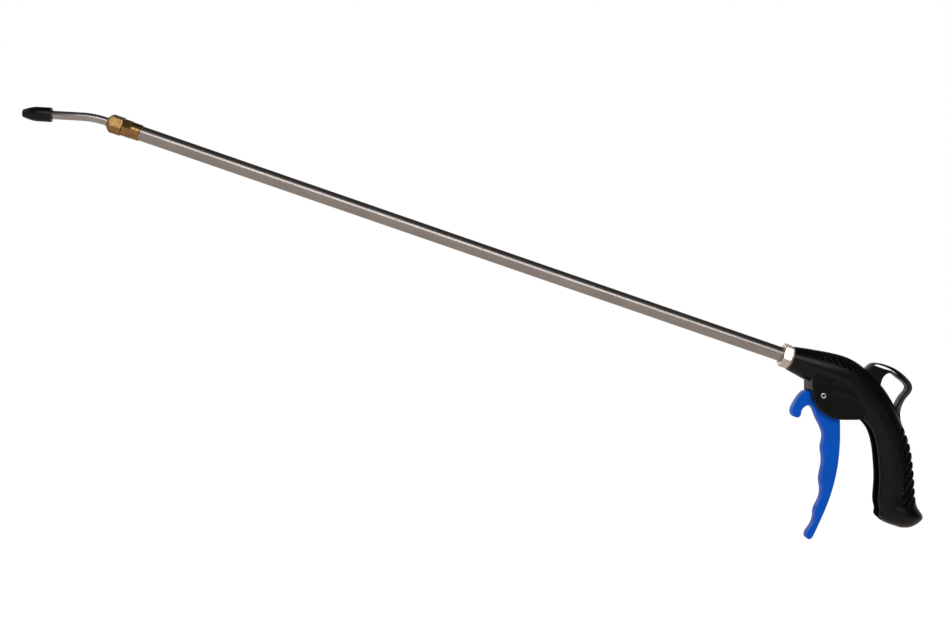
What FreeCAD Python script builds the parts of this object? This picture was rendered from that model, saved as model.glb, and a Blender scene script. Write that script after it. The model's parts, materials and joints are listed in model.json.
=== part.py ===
import FreeCAD, Part
import math
import os

V = FreeCAD.Vector

# A compressed-air blow gun with a long extension pipe and a swivelling bent nozzle.
#
# It is drawn in millimetres with x running rearward from the front of the barrel nut,
# z up from the barrel's axis and y across. save() then moves each piece so that the
# origin is the centre of the air inlet's mouth, with the nozzle pointing along -x.

# ---- driving sizes ----
INLET_X = 119.0
INLET_Z = -93.0
PIVOT_X = 35.0
PIVOT_Z = -19.0
VALVE_X = 42.0

CHEEK_Y = 10.5
LOOP_Y = 4.7
TRIGGER_Y = 4.7
SLOT_Y = 5.1
SLOT_ROOF_Z = -11.8

BARREL_MOUTH_X = 5.5
NUT_FLATS = 16.0
NUT_ROLL = 16.0
FITTING_FLATS = 12.0
GLAND_ROLL = 20.0  # degrees, how far the clamping nut is screwed on past the fitting's corners

PIPE_R = 5.3
PIPE_BORE_R = 4.3
PIPE_FRONT_X = -499.0
PIPE_REAR_X = 2.5

NOZZLE_R = 3.0
NOZZLE_BORE_R = 2.0
NOZZLE_BEND = 16.0
NOZZLE_BEND_R = 60.0
NOZZLE_BEND_X = -519.5
NOZZLE_STRAIGHT = 36.5
TIP_LENGTH = 20.2
TIP_R = 5.15

INLET_THREAD_R = 5.73
INLET_THREAD_LENGTH = 12.0
INSERT_FLATS = 14.0
DUCT_R = 3.5
RUN = 0.05  # radial clearance of a turning or sliding fit
FIT = 0.02  # radial clearance of pieces held still against each other
GROOVE_DEPTH = 1.0


# ---- ways of making shapes ----
def at(x, z, y=0.0):
    return V(x, y, z)


def smooth(points, closed=False):
    """A curve through (x, z) points in the plane y = 0."""
    curve = Part.BSplineCurve()
    curve.interpolate([at(x, z) for x, z in points], PeriodicFlag=closed)
    return curve.toShape()


def smooth_edges(points, closed=False):
    """The same curve in several stretches that run into each other."""
    curve = smooth(points, closed).Curve
    knots = curve.getKnots()
    count = math.ceil(len(points) / 5)
    marks = [knots[round(k * (len(knots) - 1) / count)] for k in range(count + 1)]
    return [curve.toShape(a, b) for a, b in zip(marks, marks[1:])]


def lines(points):
    return [Part.makeLine(at(*a), at(*b)) for a, b in zip(points, points[1:])]


def slab(edges, half_width):
    """The region inside a closed outline in the plane y = 0, as thick as 2 half widths."""
    face = Part.Face(Part.Wire(Part.__sortEdges__(edges)))
    body = face.extrude(V(0, 2 * half_width, 0))
    body.translate(V(0, -half_width, 0))
    return body


def turned_x(profile):
    """A solid of revolution about the barrel's axis, from its (x, radius) corners."""
    corners = [at(x, r) for x, r in profile]
    face = Part.Face(Part.makePolygon(corners + corners[:1]))
    return face.revolve(at(0, 0), V(1, 0, 0), 360)


def turned_z(x, profile):
    """A solid of revolution about a vertical line at x, from its (z, radius) corners."""
    corners = [at(x + r, z) for z, r in profile]
    face = Part.Face(Part.makePolygon(corners + corners[:1]))
    return face.revolve(at(x, 0), V(0, 0, 1), 360)


def rod_x(x0, x1, r, z=0.0):
    return Part.makeCylinder(r, x1 - x0, at(x0, z), V(1, 0, 0))


def rod_y(x, z, r, half_length):
    return Part.makeCylinder(r, 2 * half_length, at(x, z, -half_length), V(0, 1, 0))


def rod_z(x, z0, z1, r):
    return Part.makeCylinder(r, z1 - z0, at(x, z0), V(0, 0, 1))


def hexagon(flats, turn, place):
    """A closed six-sided wire; place(a, b) puts its two flat coordinates in space."""
    radius = flats / 2 / math.cos(math.pi / 6)
    angles = [math.radians(turn + 60 * k) for k in range(7)]
    return Part.makePolygon([place(radius * math.cos(t), radius * math.sin(t)) for t in angles])


def hex_bar(x0, x1, flats, turn, chamfer):
    """A hexagonal bar along x whose corners are turned off at both ends."""
    wire = hexagon(flats, turn, lambda a, b: V(x0, a, b))
    bar = Part.Face(wire).extrude(V(x1 - x0, 0, 0))
    corner = flats / 2 / math.cos(math.pi / 6)
    low = corner - chamfer
    drop = chamfer * math.tan(math.radians(30))
    turning = turned_x(
        [(x0, 0), (x0, low), (x0 + drop, corner), (x1 - drop, corner), (x1, low), (x1, 0)]
    )
    return bar.common(turning)


def ring_z(x, z, mean_r, wire_r):
    return Part.makeTorus(mean_r, wire_r, at(x, z), V(0, 0, 1))


def rounded(shape, radius, picked):
    return shape.makeFillet(radius, [e for e in shape.Edges if picked(e)])


def on_curved_rim(edge):
    """The curved edges of a slab's two flat sides."""
    return isinstance(edge.Curve, Part.BSplineCurve) and edge.BoundBox.YLength < 0.01


def swept(path_edges, radius):
    """A round bar along a path of edges that run smoothly into each other."""
    path = Part.Wire(path_edges)
    first = path_edges[0]
    start = first.valueAt(first.FirstParameter)
    ring = Part.makeCircle(radius, start, first.tangentAt(first.FirstParameter))
    return path.makePipeShell([Part.Wire(ring)], True, True)


# ---- the moulded body's outer form ----
# Each station is a cross-section of the barrel, elbow or grip: the point on its back, the
# point on its belly, its half width, and how square it is towards the belly.
STATIONS = [
    ((BARREL_MOUTH_X, 8.5), (BARREL_MOUTH_X, -9.5), 9.0, 2.0),
    ((13.0, 10.0), (13.0, -10.8), 10.0, 2.0),
    ((22.0, 11.5), (22.0, -12.4), 10.9, 2.0),
    ((34.0, 13.2), (34.0, -13.5), 11.3, 2.0),
    ((46.0, 13.7), (46.0, -15.0), 11.3, 2.1),
    ((57.0, 11.6), (54.0, -18.0), 11.2, 2.3),
    ((68.3, 6.8), (60.5, -22.0), 11.1, 2.6),
    ((79.7, 0.5), (67.5, -25.5), 11.2, 3.0),
    ((91.0, -9.0), (74.5, -28.5), 11.6, 3.2),
    ((101.2, -20.2), (81.4, -34.1), 12.0, 3.4),
    ((110.5, -31.2), (87.5, -43.6), 12.3, 3.4),
    ((118.0, -44.4), (92.1, -53.6), 12.4, 3.4),
    ((124.2, -58.0), (96.2, -64.0), 12.4, 3.4),
    ((128.6, -68.2), (98.9, -74.0), 12.3, 3.3),
    ((133.4, -75.3), (101.0, -80.8), 12.8, 3.0),
]
FOOT_RIM = ((138.7, -80.2), (103.6, -85.6), 13.8, 2.7)
FOOT_CENTRE = (119.2, -93.4)
FOOT_STEPS = (28.0, 52.0, 72.0)  # degrees down the foot's rounded underside
BACK_SQUARENESS = 2.1
SECTION_POINTS = 24


def power(value, exponent):
    return math.copysign(abs(value) ** exponent, value)


def section_points(back, belly, half_width, squareness, inset=0.0):
    centre = ((back[0] + belly[0]) / 2, (back[1] + belly[1]) / 2)
    half = ((back[0] - belly[0]) / 2, (back[1] - belly[1]) / 2)
    scale = 1 - inset / math.hypot(*half)
    points = []
    for k in range(SECTION_POINTS):
        angle = 2 * math.pi * k / SECTION_POINTS
        along = math.cos(angle)
        exponent = 2 / (BACK_SQUARENESS if along > 0 else squareness)
        reach = power(along, exponent) * scale
        across = power(math.sin(angle), exponent) * (half_width - inset)
        points.append(V(centre[0] + half[0] * reach, across, centre[1] + half[1] * reach))
    return points


def section_spacing():
    """How far round a middle station each of its points is, shared by every section."""
    points = section_points(*STATIONS[len(STATIONS) // 2])
    spacing = [0.0]
    for a, b in zip(points, points[1:] + points[:1]):
        spacing.append(spacing[-1] + (b - a).Length)
    return spacing


def section(back, belly, half_width, squareness, inset):
    """A closed curve round one station, moved inwards by inset."""
    points = section_points(back, belly, half_width, squareness, inset)
    curve = Part.BSplineCurve()
    curve.interpolate(Points=points, Parameters=section_spacing(), PeriodicFlag=True)
    return Part.Wire(curve.toShape())


def foot_sections(inset):
    """The foot's rim and, below it, shrinking sections that make its underside a pillow."""
    back, belly, half_width, squareness = FOOT_RIM
    centre = ((back[0] + belly[0]) / 2, (back[1] + belly[1]) / 2)
    half = ((back[0] - belly[0]) / 2, (back[1] - belly[1]) / 2)
    wires = [section(back, belly, half_width, squareness, inset)]
    for step in FOOT_STEPS:
        down = math.sin(math.radians(step))
        size = math.cos(math.radians(step)) ** 0.8
        x = centre[0] + (FOOT_CENTRE[0] - centre[0]) * down
        z = centre[1] + (FOOT_CENTRE[1] - centre[1]) * down
        tilt = half[1] * size * (1 - down)
        high = (x + half[0] * size, z + tilt)
        low = (x - half[0] * size, z - tilt)
        wires.append(section(high, low, half_width * size, squareness, inset))
    return wires


def outer_form(inset=0.0):
    wires = [section(*station, inset) for station in STATIONS]
    return Part.makeLoft(wires + foot_sections(inset), True, False)


# ---- the trigger housing: two flat cheeks under the barrel ----
CHEEK_EDGE = [
    (22.0, -8.0),
    (23.6, -12.0),
    (25.2, -16.5),
    (28.2, -23.0),
    (34.0, -28.6),
    (42.0, -31.9),
    (50.0, -32.3),
    (58.0, -30.2),
    (68.0, -26.7),
]


def cheeks():
    closing = [(68.0, -26.7), (69.5, -25.3), (69.5, -6.0), (60.0, 0.0), (24.0, 0.0), (22.0, -8.0)]
    plate = slab(smooth_edges(CHEEK_EDGE) + lines(closing), CHEEK_Y)
    return rounded(plate, 0.9, on_curved_rim)


def cheek_panel():
    """A blank raised panel with round corners, passing through both cheeks."""
    length, height, corner = 28.5, 10.0, 2.2
    plate = Part.makeBox(length, 2 * CHEEK_Y + 0.8, height)
    plate.translate(at(37.5, -16.5, -CHEEK_Y - 0.4))
    return rounded(plate, corner, lambda e: e.BoundBox.YLength > CHEEK_Y)


# ---- the hanging loop ----
LOOP_OUTER = [
    (58.5, 8.5),
    (62.4, 11.6),
    (64.2, 14.8),
    (67.5, 16.9),
    (73.0, 17.7),
    (80.0, 17.5),
    (87.0, 15.9),
    (93.2, 13.2),
    (98.0, 9.4),
    (98.9, 5.2),
    (97.0, 0.0),
    (95.8, -5.2),
    (96.0, -11.5),
    (98.2, -17.0),
    (102.2, -22.5),
]
LOOP_HOLE = [
    (75.4, 2.5),
    (75.2, 7.0),
    (77.2, 11.6),
    (80.4, 13.3),
    (86.0, 11.9),
    (92.5, 9.6),
    (95.4, 7.2),
    (94.2, 1.5),
    (92.6, -4.0),
    (91.6, -9.0),
    (88.0, -14.0),
    (77.0, -4.0),
]


def hanging_loop():
    tail = [(102.2, -22.5), (94.0, -24.0), (66.0, 0.0), (58.5, 8.5)]
    plate = slab(smooth_edges(LOOP_OUTER) + lines(tail), LOOP_Y)
    plate = plate.cut(slab(smooth_edges(LOOP_HOLE, closed=True), LOOP_Y + 1))
    return rounded(plate, 1.1, on_curved_rim)


# ---- the slot that holds the trigger, and the grip's trough behind it ----
TROUGH_FLOOR = [
    (50.0, SLOT_ROOF_Z),
    (60.0, -14.2),
    (72.0, -18.0),
    (83.0, -24.5),
    (92.5, -36.5),
    (100.5, -53.0),
    (105.5, -68.0),
    (108.0, -82.0),
    (109.6, -97.0),
]


def trigger_slot():
    outline = [(109.6, -97.0), (85.0, -97.0), (70.0, -45.0), (10.0, -45.0), (10.0, -18.3)]
    outline += [(28.2, -18.3), (28.2, SLOT_ROOF_Z), (50.0, SLOT_ROOF_Z)]
    return slab(smooth_edges(TROUGH_FLOOR) + lines(outline), SLOT_Y)


# ---- air ways ----
OUTLET_DUCT_Z = -4.5
CHAMBER_TOP_Z = 9.0
CHAMBER_R = 4.5
SEAT_Z = -1.0
CARTRIDGE_R = 6.0
CARTRIDGE_BASE_Z = -8.2
RETAINER_R = 6.5
OUTLET_INSERT_R = 6.8
OUTLET_INSERT_REAR_X = 16.0
DUCT_PATH = [
    (INLET_X, INLET_Z + 13.5),
    (117.5, -71.0),
    (113.0, -58.0),
    (105.5, -42.0),
    (95.5, -26.0),
    (83.0, -11.5),
    (68.0, -2.0),
    (54.0, 3.2),
    (VALVE_X, 4.5),
]


def air_ways():
    inlet_seat = hexagon(INSERT_FLATS + 2 * FIT, 30, lambda a, b: V(INLET_X + a, b, INLET_Z - 3))
    return [
        rod_x(BARREL_MOUTH_X - 2, OUTLET_INSERT_REAR_X, OUTLET_INSERT_R + FIT),
        rod_x(OUTLET_INSERT_REAR_X - 1, OUTLET_INSERT_REAR_X + 3, 5.0),
        rod_x(OUTLET_INSERT_REAR_X, VALVE_X - 3, 1.7, OUTLET_DUCT_Z),
        rod_z(VALVE_X, SLOT_ROOF_Z - 1, CARTRIDGE_BASE_Z, RETAINER_R + FIT),
        rod_z(VALVE_X, CARTRIDGE_BASE_Z - 1, SEAT_Z, CARTRIDGE_R + FIT),
        rod_z(VALVE_X, SEAT_Z - 1, CHAMBER_TOP_Z, CHAMBER_R),
        swept([smooth(DUCT_PATH)], DUCT_R),
        Part.Face(inlet_seat).extrude(V(0, 0, 16.7)),
        rod_y(PIVOT_X, PIVOT_Z, 2.1 + FIT, CHEEK_Y + 2),
    ]


# ---- finger grooves ----
BARREL_GROOVES = 7
BARREL_GROOVE_PITCH = 5.4
BARREL_GROOVE_WIDTH = 2.9
SMOOTH_CREST_Y = 2.6
GRIP_GROOVES = 9
GRIP_GROOVE_WIDTH = 3.1
GRIP_GROOVE_LEAN = 70.0  # degrees from level, leaning rearward as it rises
GROOVED_BACK = [(101.0, -20.0), (118.0, -44.4), (128.6, -68.2)]


def barrel_grooves():
    """Slanted cuts on both sides of the barrel's smooth crest, leaning rearward as they go down."""
    cuts = []
    for k in range(BARREL_GROOVES):
        x = 19.9 + BARREL_GROOVE_PITCH * k
        foot = 6.0 - 0.23 * k
        rise = 16.0 - foot
        corners = [(x, foot), (x + BARREL_GROOVE_WIDTH, foot)]
        corners += [(x + BARREL_GROOVE_WIDTH - rise, 16.0), (x - rise, 16.0), (x, foot)]
        cuts.append(slab(lines(corners), 14).cut(slab(lines(corners), SMOOTH_CREST_Y)))
    return cuts


def grip_grooves():
    """Slanted cuts across the back of the grip, running down and forward along its sides."""
    crest = smooth(GROOVED_BACK)
    first, last = crest.ParameterRange
    lean = math.radians(GRIP_GROOVE_LEAN)
    run = V(math.cos(lean), 0, math.sin(lean))
    side = V(math.sin(lean), 0, -math.cos(lean)) * (GRIP_GROOVE_WIDTH / 2)
    cuts = []
    for k in range(GRIP_GROOVES):
        share = (k + 0.5) / GRIP_GROOVES
        middle = crest.valueAt(first + (last - first) * share)
        top = middle + run * 6
        end = middle - run * (13.5 - 0.4 * k)
        points = [top - side, end - side, end + side, top + side, top - side]
        cuts.append(slab(lines([(p.x, p.z) for p in points]), 14))
    return cuts


def largest_solid(shape):
    return max(shape.Solids, key=lambda solid: solid.Volume)


def gun_body():
    body = outer_form().fuse([cheeks(), hanging_loop(), cheek_panel()])
    body = largest_solid(body.cut([trigger_slot()] + air_ways()))
    core = outer_form(GROOVE_DEPTH)
    for cut in barrel_grooves() + grip_grooves():
        body = largest_solid(body.cut(cut.cut(core)))
    return body


# ---- fittings in the body ----
def outlet_insert():
    """A brass thread moulded into the barrel's mouth, with two grooves that hold it."""
    r = OUTLET_INSERT_R
    x0, x1 = BARREL_MOUTH_X, OUTLET_INSERT_REAR_X
    profile = [(x0, 4.95), (x0, r), (x0 + 3, r), (x0 + 3, r - 0.6), (x0 + 4, r - 0.6)]
    profile += [(x0 + 4, r), (x0 + 6.5, r), (x0 + 6.5, r - 0.6), (x0 + 7.5, r - 0.6)]
    profile += [(x0 + 7.5, r), (x1, r), (x1, 3.8), (x1 - 1, 3.8), (x1 - 1, 4.95)]
    return turned_x(profile)


def inlet_insert():
    """A six-sided brass insert with the female thread for the air line's coupling."""
    wire = hexagon(INSERT_FLATS, 30, lambda a, b: V(INLET_X + a, b, INLET_Z))
    block = Part.Face(wire).extrude(V(0, 0, 13.5))
    thread = rod_z(INLET_X, INLET_Z - 1, INLET_Z + INLET_THREAD_LENGTH, INLET_THREAD_R)
    passage = rod_z(INLET_X, INLET_Z + 1, INLET_Z + 15, DUCT_R)
    mouth = turned_z(
        INLET_X,
        [(INLET_Z, 0), (INLET_Z, 6.2), (INLET_Z + 2.2, 8.1), (INLET_Z + 14, 8.1), (INLET_Z + 14, 0)],
    )
    return block.common(mouth).cut([thread, passage])


def valve_cartridge():
    """The valve's cage: seat on top, gallery with four windows, floor that guides the stem."""
    z0, z1, r = CARTRIDGE_BASE_Z, SEAT_Z, CARTRIDGE_R
    profile = [(z0, 3.55), (z0, r), (z0 + 0.5, r), (z0 + 0.5, r - 1.1), (z0 + 1.9, r - 1.1)]
    profile += [(z0 + 1.9, r), (z0 + 2.6, r), (z0 + 2.6, r - 0.7), (z0 + 5.0, r - 0.7)]
    profile += [(z0 + 5.0, r), (z0 + 5.4, r), (z0 + 5.4, r - 1.1), (z0 + 6.8, r - 1.1)]
    profile += [(z0 + 6.8, r), (z1, r), (z1, 3.2), (z1 - 0.4, 2.8), (z1 - 1.5, 2.8)]
    profile += [(z1 - 1.5, 4.2), (z0 + 2.2, 4.2), (z0 + 2.2, 2.05), (z0 + 1.7, 2.05)]
    profile += [(z0 + 1.7, 3.55)]
    cage = turned_z(VALVE_X, profile)
    windows = [
        Part.makeCylinder(1.0, 2 * r + 2, at(VALVE_X - r - 1, OUTLET_DUCT_Z), V(1, 0, 0)),
        Part.makeCylinder(1.0, 2 * r + 2, at(VALVE_X, OUTLET_DUCT_Z, -r - 1), V(0, 1, 0)),
    ]
    return cage.cut(windows)


def cartridge_o_ring(z):
    return ring_z(VALVE_X, z, CARTRIDGE_R - 0.57, 0.52)


def stem_o_ring():
    return ring_z(VALVE_X, CARTRIDGE_BASE_Z + 0.85, 2.78, 0.7)


def valve_retainer():
    """A threaded ring that holds the cartridge up, with four slots for a key."""
    z0, z1 = SLOT_ROOF_Z, CARTRIDGE_BASE_Z
    ring = turned_z(
        VALVE_X,
        [(z0, 2 + RUN), (z0, 6.0), (z0 + 0.5, RETAINER_R), (z1, RETAINER_R), (z1, 2 + RUN)],
    )
    slots = []
    for turn in (0, 90):
        slot = Part.makeBox(16, 1.6, 1.2, at(-8, 0, -0.8))
        slot.rotate(V(0, 0, 0), V(0, 0, 1), turn + 45)
        slot.translate(at(VALVE_X, z0))
        slots.append(slot.cut(rod_z(VALVE_X, z0 - 1, z0 + 3, 4.2)))
    return ring.cut(slots)


def pivot_pin():
    """A tubular rivet through both cheeks, its ends turned over to a round lip."""
    y = CHEEK_Y + 0.25
    corners = [(-y, 0.95), (-y, 1.8), (-y + 0.3, 2.1), (y - 0.3, 2.1), (y, 1.8), (y, 0.95)]
    corners += [(y - 0.5, 0.75), (-y + 0.5, 0.75)]
    points = [V(PIVOT_X, a, PIVOT_Z + r) for a, r in corners]
    face = Part.Face(Part.makePolygon(points + points[:1]))
    return face.revolve(at(PIVOT_X, PIVOT_Z), V(0, 1, 0), 360)


# ---- barrel nut and pipe ----
SHANK_R = 4.9
SHANK_REAR_X = 13.5
NUT_FRONT_X = -2.0
NUT_REAR_X = 4.5


def barrel_nut():
    """The pipe's adapter: a hexagon with a socket for the pipe and a threaded shank."""
    hexed = hex_bar(NUT_FRONT_X, NUT_REAR_X, NUT_FLATS, NUT_ROLL, 1.1)
    shank = turned_x(
        [(NUT_REAR_X - 1, 0), (NUT_REAR_X - 1, SHANK_R), (SHANK_REAR_X - 0.8, SHANK_R)]
        + [(SHANK_REAR_X, SHANK_R - 0.8), (SHANK_REAR_X, 0)]
    )
    socket = rod_x(NUT_FRONT_X - 1, PIPE_REAR_X + 0.1, PIPE_R + FIT)
    x = NUT_FRONT_X
    mouth = turned_x([(x - 1, 0), (x - 1, 6.8), (x, 6.6), (x + 1.2, PIPE_R), (x + 1.2, 0)])
    return hexed.fuse(shank).cut([socket, mouth, rod_x(0, SHANK_REAR_X + 1, 3.2)])


def barrel_washer():
    x0, x1 = NUT_REAR_X, BARREL_MOUTH_X
    return turned_x([(x0, SHANK_R + 0.1), (x0, 8.2), (x1, 8.2), (x1, SHANK_R + 0.1)])


def extension_pipe():
    outer = rod_x(PIPE_FRONT_X, PIPE_REAR_X, PIPE_R)
    return outer.cut(rod_x(PIPE_FRONT_X - 1, PIPE_REAR_X + 1, PIPE_BORE_R))


# ---- the fitting at the pipe's front ----
FITTING_REAR_X = -493.5
FITTING_HEX_REAR_X = -500.5
FITTING_HEX_FRONT_X = -506.5
FITTING_FRONT_X = -512.0
FITTING_THREAD_R = 4.4
GLAND_REAR_X = -507.0
GLAND_FRONT_X = -518.0
NOZZLE_REAR_X = -509.0


def connector_body():
    """A sleeve over the pipe, a hexagon, and a threaded nose with a coned seat."""
    sleeve = turned_x(
        [(FITTING_HEX_REAR_X - 1, 0), (FITTING_HEX_REAR_X - 1, 5.9), (FITTING_REAR_X - 0.6, 5.9)]
        + [(FITTING_REAR_X, 5.6), (FITTING_REAR_X, 0)]
    )
    hexed = hex_bar(FITTING_HEX_FRONT_X, FITTING_HEX_REAR_X, FITTING_FLATS, 0, 0.7)
    nose = rod_x(FITTING_FRONT_X, FITTING_HEX_FRONT_X + 1, FITTING_THREAD_R)
    cone = turned_x(
        [(FITTING_FRONT_X - 1, 0), (FITTING_FRONT_X - 1, 4.1), (FITTING_FRONT_X, 3.9)]
        + [(FITTING_FRONT_X + 1.2, 3.0), (FITTING_FRONT_X + 1.2, 0)]
    )
    hollows = [
        rod_x(PIPE_FRONT_X - 0.05, FITTING_REAR_X + 1, PIPE_R + FIT),
        rod_x(FITTING_FRONT_X, FITTING_REAR_X, 2.2),
        rod_x(FITTING_FRONT_X, NOZZLE_REAR_X + 0.4, NOZZLE_R + RUN),
        cone,
    ]
    return sleeve.fuse([hexed, nose]).cut(hollows)


def gland_nut():
    """The nut that clamps the nozzle, coned outside at its front and inside on the olive."""
    nut = hex_bar(GLAND_FRONT_X, GLAND_REAR_X, FITTING_FLATS, GLAND_ROLL, 0.7)
    nose = turned_x(
        [(GLAND_FRONT_X, 0), (GLAND_FRONT_X, 4.2), (GLAND_FRONT_X + 3.2, 7.2)]
        + [(GLAND_REAR_X, 7.2), (GLAND_REAR_X, 0)]
    )
    cavity = turned_x(
        [(GLAND_FRONT_X - 1, 0), (GLAND_FRONT_X - 1, NOZZLE_R + RUN)]
        + [(GLAND_FRONT_X + 2.6, NOZZLE_R + RUN), (GLAND_FRONT_X + 3.6, 4.15)]
        + [(GLAND_FRONT_X + 4.6, FITTING_THREAD_R + RUN), (GLAND_REAR_X + 1, FITTING_THREAD_R + RUN)]
        + [(GLAND_REAR_X + 1, 0)]
    )
    return nut.common(nose).cut(cavity)


# ---- the nozzle ----
def nozzle_path():
    """Straight through the gland, a bend downwards, then straight to the tip."""
    bend = math.radians(NOZZLE_BEND)
    r = NOZZLE_BEND_R
    x, start = NOZZLE_BEND_X, at(NOZZLE_REAR_X, 0)
    middle = at(x - r * math.sin(bend / 2), r * (math.cos(bend / 2) - 1))
    bent = at(x - r * math.sin(bend), r * (math.cos(bend) - 1))
    heading = V(-math.cos(bend), 0, -math.sin(bend))
    edges = [
        Part.makeLine(start, at(x, 0)),
        Part.Arc(at(x, 0), middle, bent).toShape(),
        Part.makeLine(bent, bent + heading * NOZZLE_STRAIGHT),
    ]
    return edges, bent + heading * NOZZLE_STRAIGHT, heading


def nozzle_tube():
    edges, _, _ = nozzle_path()
    return swept(edges, NOZZLE_R).cut(swept(edges, NOZZLE_BORE_R))


def olive():
    """The double-coned ring gripped on the nozzle between gland nut and connector."""
    x = FITTING_FRONT_X
    r0, r1 = NOZZLE_R + FIT, 3.6
    return turned_x([(x - 2.0, r0), (x - 1.4, r1), (x - 0.2, r1), (x + 0.6, r0)])


def rubber_tip():
    """A soft sleeve over the nozzle's end, round-shouldered down to a small outlet."""
    _, end, heading = nozzle_path()
    rear = end - heading * (TIP_LENGTH - 5.0)
    barrel = 9.5
    crown = Part.Arc(V(barrel, TIP_R, 0), V(15.5, 4.55, 0), V(TIP_LENGTH - 0.8, 2.9, 0)).toShape()
    front = Part.Arc(
        V(TIP_LENGTH - 0.8, 2.9, 0), V(TIP_LENGTH - 0.15, 2.5, 0), V(TIP_LENGTH, 2.0, 0)
    ).toShape()
    corners = [(TIP_LENGTH, 2.0), (TIP_LENGTH, 1.4), (TIP_LENGTH - 5.0, 1.4)]
    corners += [(TIP_LENGTH - 5.0, NOZZLE_R + FIT), (0, NOZZLE_R + FIT), (0, TIP_R - 0.4)]
    corners += [(0.4, TIP_R), (barrel, TIP_R)]
    edges = [Part.makeLine(V(*a, 0), V(*b, 0)) for a, b in zip(corners, corners[1:])]
    face = Part.Face(Part.Wire(Part.__sortEdges__(edges + [crown, front])))
    tip = face.revolve(V(0, 0, 0), V(1, 0, 0), 360)
    tip.rotate(V(0, 0, 0), V(0, 1, 0), 180 - NOZZLE_BEND)
    tip.translate(rear)
    return tip


# ---- the trigger ----
CAM_R = 5.0
CAM_Z = -20.0
TRIGGER_OUTLINE = [
    (28.6, -19.1),
    (26.4, -18.9),
    (24.0, -19.2),
    (21.9, -21.2),
    (19.9, -26.0),
    (18.4, -33.0),
    (18.6, -37.0),
    (20.0, -39.4),
    (22.3, -40.5),
    (24.5, -40.0),
    (25.6, -38.1),
    (25.2, -35.0),
    (26.5, -31.0),
    (30.1, -28.9),
    (34.0, -31.0),
    (37.8, -35.4),
    (43.5, -41.0),
    (47.7, -47.4),
    (49.2, -55.6),
    (51.8, -61.0),
    (54.2, -69.0),
    (55.9, -78.6),
    (58.8, -84.5),
    (60.1, -92.0),
    (59.2, -100.6),
    (60.6, -106.0),
    (60.2, -113.0),
    (58.8, -119.2),
    (59.5, -121.7),
    (61.3, -122.8),
    (63.2, -121.6),
    (64.0, -118.8),
    (65.2, -108.0),
    (66.4, -92.0),
    (65.9, -76.0),
    (63.5, -60.0),
    (59.3, -44.5),
    (54.6, -31.5),
    (50.3, -23.4),
    (47.0, -19.6),
]


def trigger():
    """One moulding: hooked finger rest, pivot boss, cam under the valve's stem, and lever."""
    top = lines([(47.0, -19.6), (42.0, -18.0), (30.0, -18.0), (28.6, -19.1)])
    lever = slab(smooth_edges(TRIGGER_OUTLINE) + top, TRIGGER_Y)
    lever = rounded(lever, 1.2, on_curved_rim)
    boss = rod_y(PIVOT_X, PIVOT_Z, 4.6, TRIGGER_Y)
    cam = rod_y(VALVE_X, CAM_Z, CAM_R, TRIGGER_Y)
    return lever.fuse([boss, cam]).cut(rod_y(PIVOT_X, PIVOT_Z, 2.1 + RUN, 10)).removeSplitter()


# ---- the valve's moving pieces ----
STEM_R = 2.0
POPPET_TOP_Z = 1.4


def valve_stem():
    """The push rod, thinner above its guide, with a small stud for the poppet's nut."""
    foot = CAM_Z + CAM_R + 0.4
    profile = [(foot, 0), (foot, 1.5), (foot + 0.5, STEM_R), (-5.6, STEM_R), (-5.0, 1.5)]
    profile += [(SEAT_Z, 1.5), (SEAT_Z, 1.0), (POPPET_TOP_Z + 0.6, 1.0), (POPPET_TOP_Z + 0.6, 0)]
    return turned_z(VALVE_X, profile)


def poppet_seal():
    return turned_z(VALVE_X, [(SEAT_Z, 1.0 + FIT), (SEAT_Z, 3.6), (0.2, 3.6), (0.2, 1.0 + FIT)])


def poppet_nut():
    """The cup washer over the seal, with a spigot inside the spring."""
    profile = [(0.2, 1.0 + FIT), (0.2, 3.6), (POPPET_TOP_Z, 3.6), (POPPET_TOP_Z, 2.3)]
    profile += [(POPPET_TOP_Z + 0.6, 2.1), (POPPET_TOP_Z + 0.6, 1.0 + FIT)]
    return turned_z(VALVE_X, profile)


def valve_spring():
    """A coil from the poppet's nut to the roof of the chamber."""
    wire_r, mean_r, turns = 0.35, 2.9, 4.5
    rise = CHAMBER_TOP_Z - POPPET_TOP_Z - 2 * wire_r - 0.2
    steps = round(turns * 10)
    points = []
    for k in range(steps + 1):
        angle = 2 * math.pi * turns * k / steps
        points.append(V(mean_r * math.cos(angle), mean_r * math.sin(angle), rise * k / steps))
    curve = Part.BSplineCurve()
    curve.interpolate(points)
    coil = swept([curve.toShape()], wire_r)
    coil.translate(at(VALVE_X, POPPET_TOP_Z + wire_r + 0.1))
    return coil


# ---- one file for each piece ----
PIECES = {
    "gun_body": gun_body,
    "outlet_insert": outlet_insert,
    "inlet_insert": inlet_insert,
    "valve_cartridge": valve_cartridge,
    "upper_cartridge_o_ring": lambda: cartridge_o_ring(CARTRIDGE_BASE_Z + 6.1),
    "lower_cartridge_o_ring": lambda: cartridge_o_ring(CARTRIDGE_BASE_Z + 1.2),
    "stem_o_ring": stem_o_ring,
    "valve_retainer": valve_retainer,
    "pivot_pin": pivot_pin,
    "barrel_nut": barrel_nut,
    "barrel_washer": barrel_washer,
    "extension_pipe": extension_pipe,
    "connector_body": connector_body,
    "gland_nut": gland_nut,
    "nozzle_tube": nozzle_tube,
    "olive": olive,
    "rubber_tip": rubber_tip,
    "trigger": trigger,
    "valve_stem": valve_stem,
    "poppet_seal": poppet_seal,
    "poppet_nut": poppet_nut,
    "valve_spring": valve_spring,
}


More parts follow.
